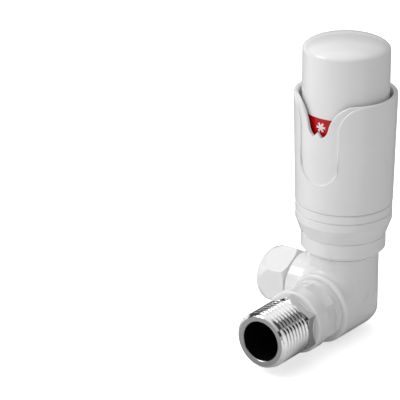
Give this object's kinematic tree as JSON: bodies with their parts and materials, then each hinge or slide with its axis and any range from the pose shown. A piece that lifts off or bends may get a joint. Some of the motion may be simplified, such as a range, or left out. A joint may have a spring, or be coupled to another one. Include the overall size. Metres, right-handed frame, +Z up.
{
  "type": "thermostatic radiator valve",
  "caption": "White thermostatic radiator valve of corner pattern: upright head with a turning knob, chromed male tail, compression nut for the pipe.",
  "frame": {"origin": "on the radiator tail's axis, at the shoulder where its half-inch thread meets its hexagon", "axes": "+Z up along the head, -Y out along the radiator tail, -X towards the pipe"},
  "size_m": [0.0511, 0.0696, 0.1123],
  "materials": {
    "white_enamel": "gloss enamel on brass",
    "white_plastic": "gloss",
    "dial_red": "gloss",
    "chromed_brass": "polished chrome plate",
    "brass": "turned",
    "steel": "bright",
    "aluminium": "satin",
    "seal_rubber": "matte",
    "inner_plastic": "matte"
  },
  "bodies": {
    "tail": {"radiator_tail": "chromed_brass", "tail_retaining_ring": "steel", "tail_o_ring": "seal_rubber"},
    "union_nut": {"union_nut": "white_enamel"},
    "valve_body": {"valve_body": "white_enamel", "insert_bonnet": "brass", "insert_o_ring": "seal_rubber", "gland_nut": "brass", "spindle_o_ring": "seal_rubber"},
    "olive": {"olive": "brass"},
    "pipe_nut": {"pipe_nut": "white_enamel"},
    "closing": {"spindle": "steel", "disc_cup": "brass", "disc_seal": "seal_rubber", "disc_screw": "steel", "return_spring": "steel"},
    "head": {"head_base": "white_plastic", "limit_ring": "white_plastic", "head_sleeve": "white_plastic"},
    "coupling_nut": {"coupling_nut": "white_enamel"},
    "handwheel": {"handwheel": "white_plastic", "scale_ring": "dial_red"},
    "sensor": {"sensor_carrier": "inner_plastic", "carrier_cap": "inner_plastic", "sensor_capsule": "aluminium", "overload_spring": "steel", "push_pin": "inner_plastic"}
  },
  "joints": [
    {"name": "union_nut_turn", "type": "hinge", "parent": "tail", "child": "union_nut", "pos_m": [0, 0.0143, 0], "axis": [0, -1, 0], "range_deg": [0, 900]},
    {"name": "body_draw", "type": "slide", "parent": "tail", "child": "valve_body", "axis": [0, 1, 0], "range_m": [0, 0.0045]},
    {"name": "olive_draw", "type": "slide", "parent": "valve_body", "child": "olive", "axis": [-1, 0, 0], "range_m": [0, 0.005]},
    {"name": "pipe_nut_turn", "type": "hinge", "parent": "olive", "child": "pipe_nut", "pos_m": [-0.025, 0.0353, 0.001], "axis": [-1, 0, 0], "range_deg": [0, 990]},
    {"name": "head_draw", "type": "slide", "parent": "valve_body", "child": "head", "axis": [0, 0, 1], "range_m": [0, 0.0037]},
    {"name": "coupling_nut_turn", "type": "hinge", "parent": "head", "child": "coupling_nut", "pos_m": [0, 0.0353, 0.022], "axis": [0, 0, 1], "range_deg": [0, 900]},
    {"name": "handwheel_turn", "type": "hinge", "parent": "head", "child": "handwheel", "pos_m": [0, 0.0353, 0.07], "axis": [0, 0, 1], "range_deg": [0, 300]},
    {"name": "sensor_lift", "type": "slide", "parent": "head", "child": "sensor", "axis": [0, 0, 1], "range_m": [0, 0.0025]},
    {"name": "spindle_lift", "type": "slide", "parent": "valve_body", "child": "closing", "axis": [0, 0, 1], "range_m": [0, 0.0026], "deforming": ["return_spring"]}
  ],
  "couplings": [
    {"joint": "union_nut_turn", "follows": "body_draw", "rad_per_m": 3463.7},
    {"joint": "olive_draw", "follows": "pipe_nut_turn", "m_per_rad": 0.00028871},
    {"joint": "coupling_nut_turn", "follows": "head_draw", "rad_per_m": 4188.8},
    {"joint": "handwheel_turn", "follows": "sensor_lift", "rad_per_m": 2094},
    {"joint": "spindle_lift", "follows": "sensor_lift", "ratio": 1}
  ]
}
